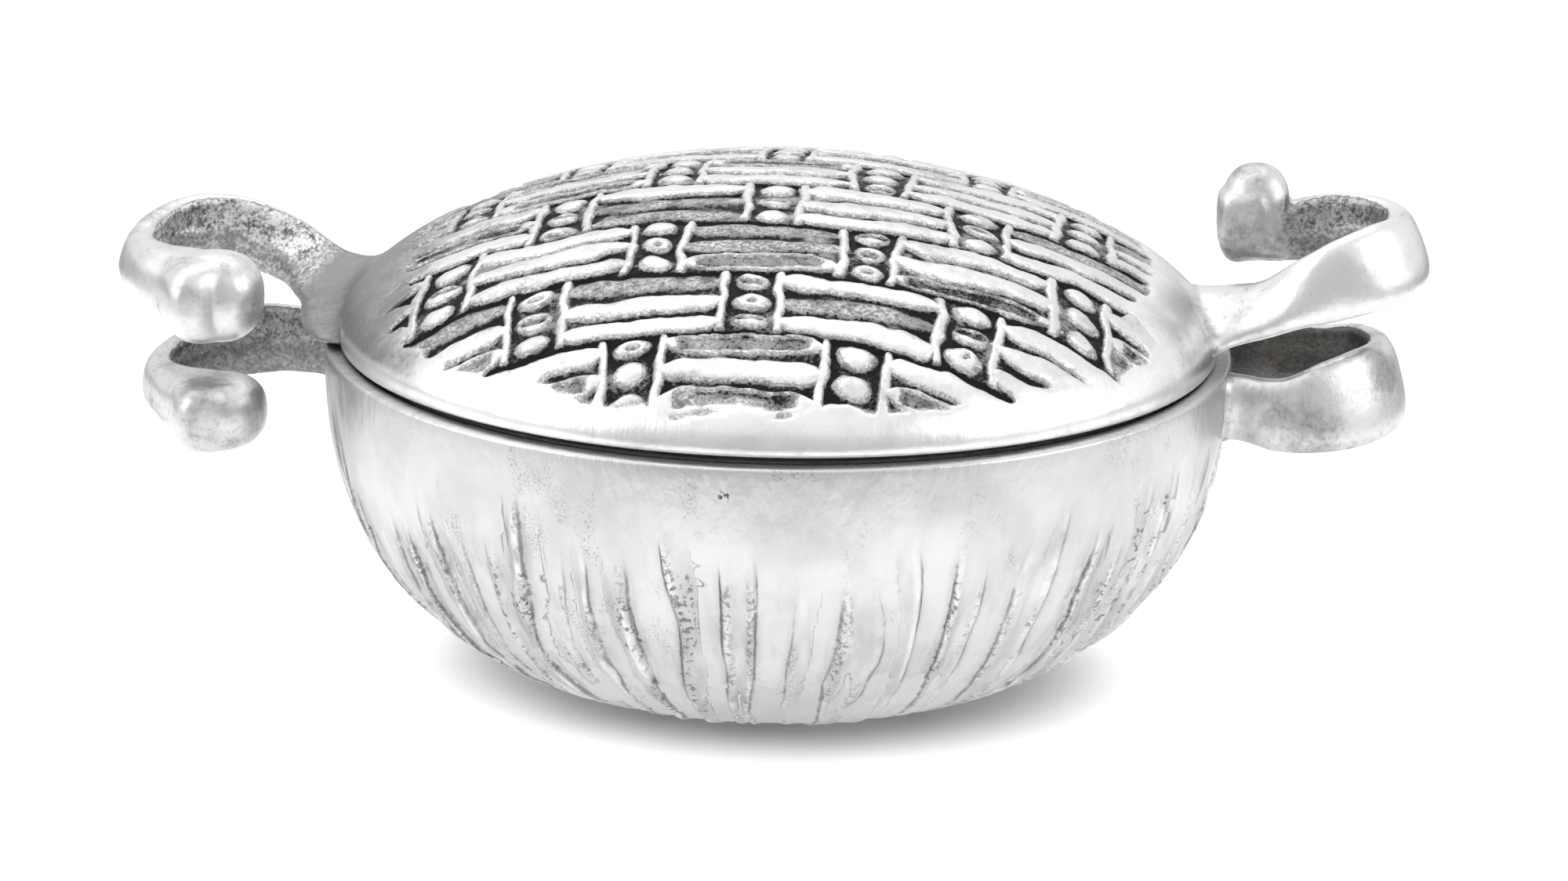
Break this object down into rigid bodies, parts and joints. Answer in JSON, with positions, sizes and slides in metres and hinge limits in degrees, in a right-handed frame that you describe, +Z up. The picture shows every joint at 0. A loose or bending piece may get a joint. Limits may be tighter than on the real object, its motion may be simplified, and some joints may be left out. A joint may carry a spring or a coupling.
{
  "type": "casserole dish",
  "caption": "Round lidded casserole dish of cast aluminium with ribbed bowl, domed relief lid and scroll handles at both sides.",
  "frame": {"origin": "centre of the flat foot, on the table", "axes": "+X towards the right-hand handles, +Y towards the back, +Z up"},
  "size_m": [0.362, 0.251, 0.1446],
  "materials": {
    "satin_cast_aluminium": "satin cast aluminium with fine pits",
    "polished_cast_aluminium": "hand polished cast aluminium, as cast inside the scrolls",
    "relief_cast_aluminium": "polished crests over dark oxidised recesses"
  },
  "bodies": {
    "base": {"bowl": "satin_cast_aluminium", "bowl_handle_left": "polished_cast_aluminium", "bowl_handle_right": "polished_cast_aluminium"},
    "lid": {"lid": "relief_cast_aluminium", "lid_handle_left": "polished_cast_aluminium", "lid_handle_right": "polished_cast_aluminium"}
  },
  "joints": [
    {"name": "lid_lift", "type": "slide", "parent": "base", "child": "lid", "axis": [0, 0, 1], "range_m": [0, 0.12]}
  ]
}
